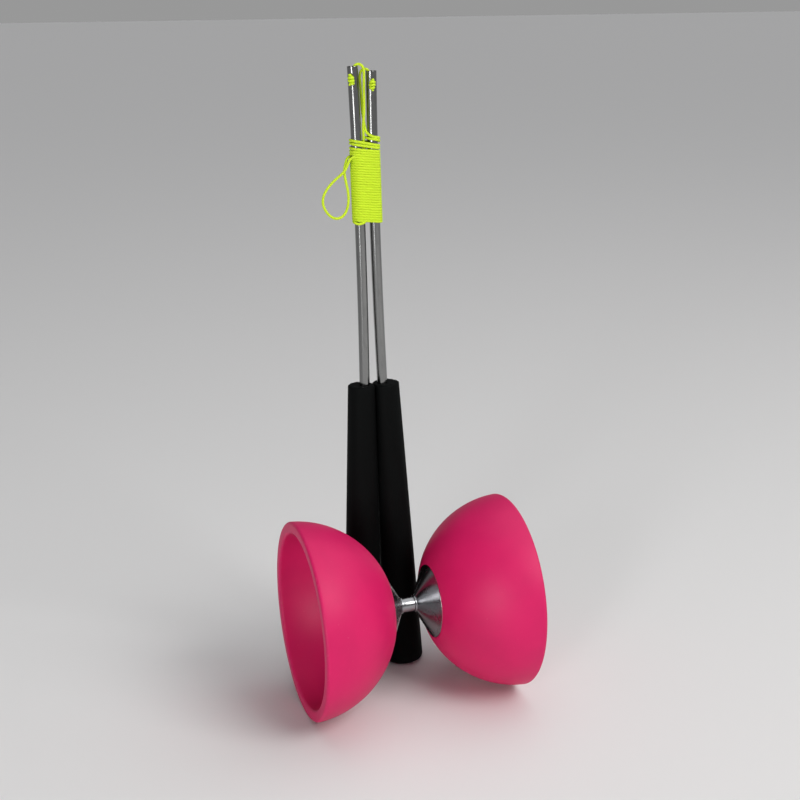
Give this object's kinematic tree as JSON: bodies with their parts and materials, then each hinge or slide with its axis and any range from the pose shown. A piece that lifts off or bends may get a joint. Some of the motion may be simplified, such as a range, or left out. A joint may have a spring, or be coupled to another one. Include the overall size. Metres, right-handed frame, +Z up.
{
  "type": "diabolo with hand sticks",
  "caption": "Two pink cups joined through metal cones on an axle, with a pair of hand sticks and a string that is wound round their tubes for storage.",
  "frame": {"origin": "on the floor under the middle of the axle, which is the middle of the object's base", "axes": "+X along the axle towards the right cup, +Y towards the sticks, +Z up"},
  "size_m": [0.118, 0.105, 0.3339],
  "materials": {
    "cup": "smooth moulded pink rubber with a satin sheen",
    "turned_aluminium": "turned on a lathe, with fine rings",
    "zinc_steel": "bright zinc plate",
    "tube_aluminium": "drawn tube, bright with fine scratches along it",
    "grip": "matt black",
    "plug": "matt black",
    "string": "braided fluorescent yellow-green cord"
  },
  "bodies": {
    "hand_sticks": {"left_tube": "tube_aluminium", "right_tube": "tube_aluminium", "left_grip": "grip", "right_grip": "grip", "left_butt_plug": "plug", "right_butt_plug": "plug", "string_winding": "string", "string_left_lead": "string", "string_right_lead": "string", "string_loop": "string", "left_knot": "string", "right_knot": "string"},
    "spool": {"left_cup": "cup", "right_cup": "cup", "left_cone": "turned_aluminium", "right_cone": "turned_aluminium", "string_sleeve": "turned_aluminium", "axle_rod": "zinc_steel", "left_clamp_plate": "zinc_steel", "right_clamp_plate": "zinc_steel", "left_spring_washer": "zinc_steel", "right_spring_washer": "zinc_steel", "left_nut": "zinc_steel", "right_nut": "zinc_steel"}
  },
  "joints": [
    {"name": "spool_spin", "type": "hinge", "parent": "hand_sticks", "child": "spool", "pos_m": [0, 0, 0.0525], "axis": [1, 0, 0], "continuous": true}
  ]
}
